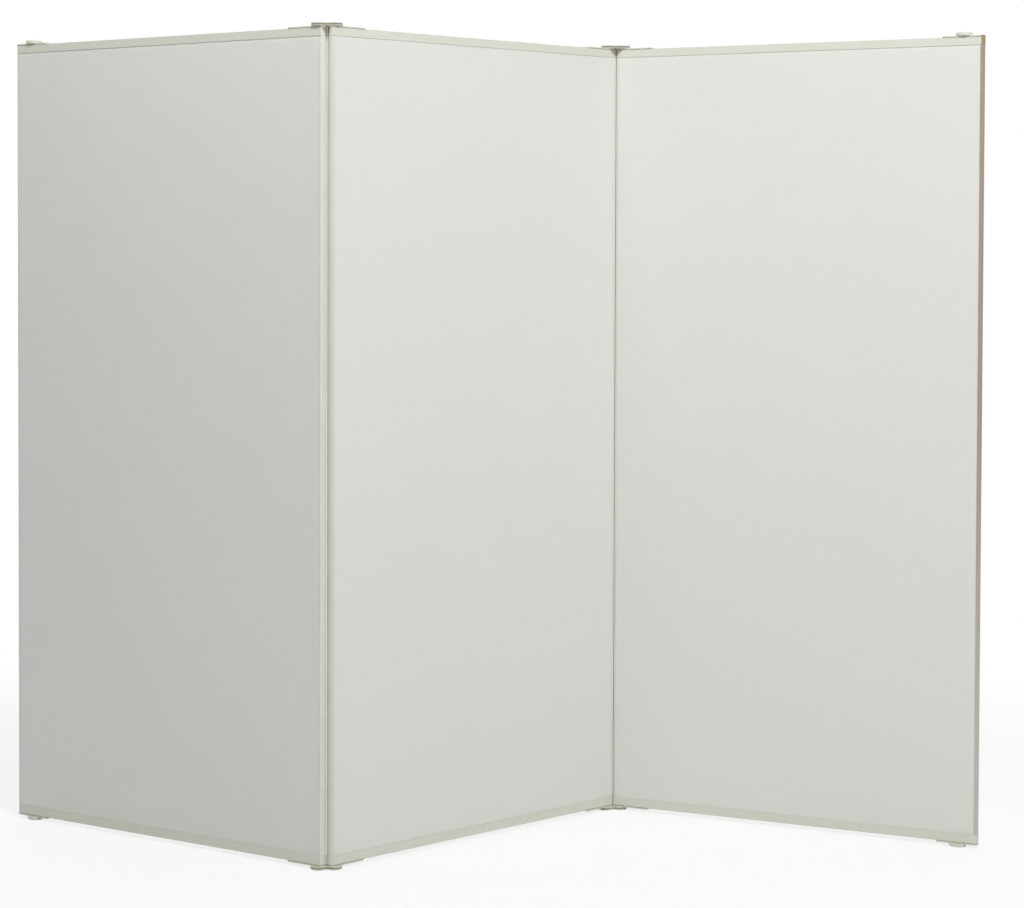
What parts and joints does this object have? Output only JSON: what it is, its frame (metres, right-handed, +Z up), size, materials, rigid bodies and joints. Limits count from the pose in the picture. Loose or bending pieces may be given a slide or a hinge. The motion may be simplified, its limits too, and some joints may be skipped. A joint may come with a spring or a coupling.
{
  "type": "folding partition",
  "caption": "Free-standing folding partition of flat fabric-covered panels, joined above and below by geared double-pivot hinges.",
  "frame": {"origin": "on the floor, at the middle of the standing screen's footprint box", "axes": "+X along the zigzag's length, +Y away from the viewer, +Z up"},
  "size_m": [2.0444, 0.5248, 1.7],
  "materials": {
    "fabric": "off-white woven fabric with faint slubs, stretched flat",
    "rails": "off-white satin extrusion",
    "edges": "off-white satin extrusion with a rounded nose",
    "caps": "cream moulded plastic, slightly yellowed",
    "fittings": "cream moulded plastic, slightly yellowed",
    "gears": "cream moulded plastic, a little darker",
    "board": "raw particle board",
    "screws": "zinc-plated steel"
  },
  "bodies": {
    "left_panel": {"left_panel_core": "board", "left_panel_front_fabric": "fabric", "left_panel_back_fabric": "fabric", "left_panel_bottom_rail": "rails", "left_panel_top_rail": "rails", "left_panel_left_edge": "edges", "left_panel_right_edge": "edges", "left_panel_cap_screws": "screws", "left_panel_pivot_screws": "screws", "left_panel_bottom_left_cap": "caps", "left_panel_bottom_right_cap": "caps", "left_panel_top_left_cap": "caps", "left_panel_top_right_cap": "caps", "left_panel_bottom_left_disc": "fittings", "left_panel_bottom_right_gear": "gears", "left_panel_top_left_disc": "fittings", "left_panel_top_right_gear": "gears"},
    "middle_panel": {"middle_panel_core": "board", "middle_panel_front_fabric": "fabric", "middle_panel_back_fabric": "fabric", "middle_panel_bottom_rail": "rails", "middle_panel_top_rail": "rails", "middle_panel_left_edge": "edges", "middle_panel_right_edge": "edges", "middle_panel_cap_screws": "screws", "middle_panel_pivot_screws": "screws", "middle_panel_bottom_left_cap": "caps", "middle_panel_bottom_right_cap": "caps", "middle_panel_top_left_cap": "caps", "middle_panel_top_right_cap": "caps", "middle_panel_bottom_left_gear": "gears", "middle_panel_bottom_right_gear": "gears", "middle_panel_top_left_gear": "gears", "middle_panel_top_right_gear": "gears"},
    "right_panel": {"right_panel_core": "board", "right_panel_front_fabric": "fabric", "right_panel_back_fabric": "fabric", "right_panel_bottom_rail": "rails", "right_panel_top_rail": "rails", "right_panel_left_edge": "edges", "right_panel_right_edge": "edges", "right_panel_cap_screws": "screws", "right_panel_pivot_screws": "screws", "right_panel_bottom_left_cap": "caps", "right_panel_bottom_right_cap": "caps", "right_panel_top_left_cap": "caps", "right_panel_top_right_cap": "caps", "right_panel_bottom_left_gear": "gears", "right_panel_bottom_right_disc": "fittings", "right_panel_top_left_gear": "gears", "right_panel_top_right_disc": "fittings"},
    "left_link": {"left_hinge_bottom_inner_plate": "fittings", "left_hinge_bottom_outer_plate": "fittings", "left_hinge_top_inner_plate": "fittings", "left_hinge_top_outer_plate": "fittings"},
    "right_link": {"right_hinge_bottom_inner_plate": "fittings", "right_hinge_bottom_outer_plate": "fittings", "right_hinge_top_inner_plate": "fittings", "right_hinge_top_outer_plate": "fittings"}
  },
  "joints": [
    {"name": "left_link_turn", "type": "hinge", "parent": "middle_panel", "child": "left_link", "pos_m": [-0.32328, -0.24353, 0], "axis": [0, 0, 1], "range_deg": [-54.5, 70.5]},
    {"name": "left_panel_turn", "type": "hinge", "parent": "left_link", "child": "left_panel", "pos_m": [-0.35362, -0.24539, 0], "axis": [0, 0, 1], "range_deg": [-54.5, 70.5]},
    {"name": "right_link_turn", "type": "hinge", "parent": "middle_panel", "child": "right_link", "pos_m": [0.27574, 0.24155, 0], "axis": [0, 0, 1], "range_deg": [-58.25, 66.75]},
    {"name": "right_panel_turn", "type": "hinge", "parent": "right_link", "child": "right_panel", "pos_m": [0.3059, 0.24539, 0], "axis": [0, 0, 1], "range_deg": [-58.25, 66.75]}
  ],
  "couplings": [
    {"joint": "left_link_turn", "follows": "left_panel_turn", "ratio": 1},
    {"joint": "right_link_turn", "follows": "right_panel_turn", "ratio": 1}
  ]
}
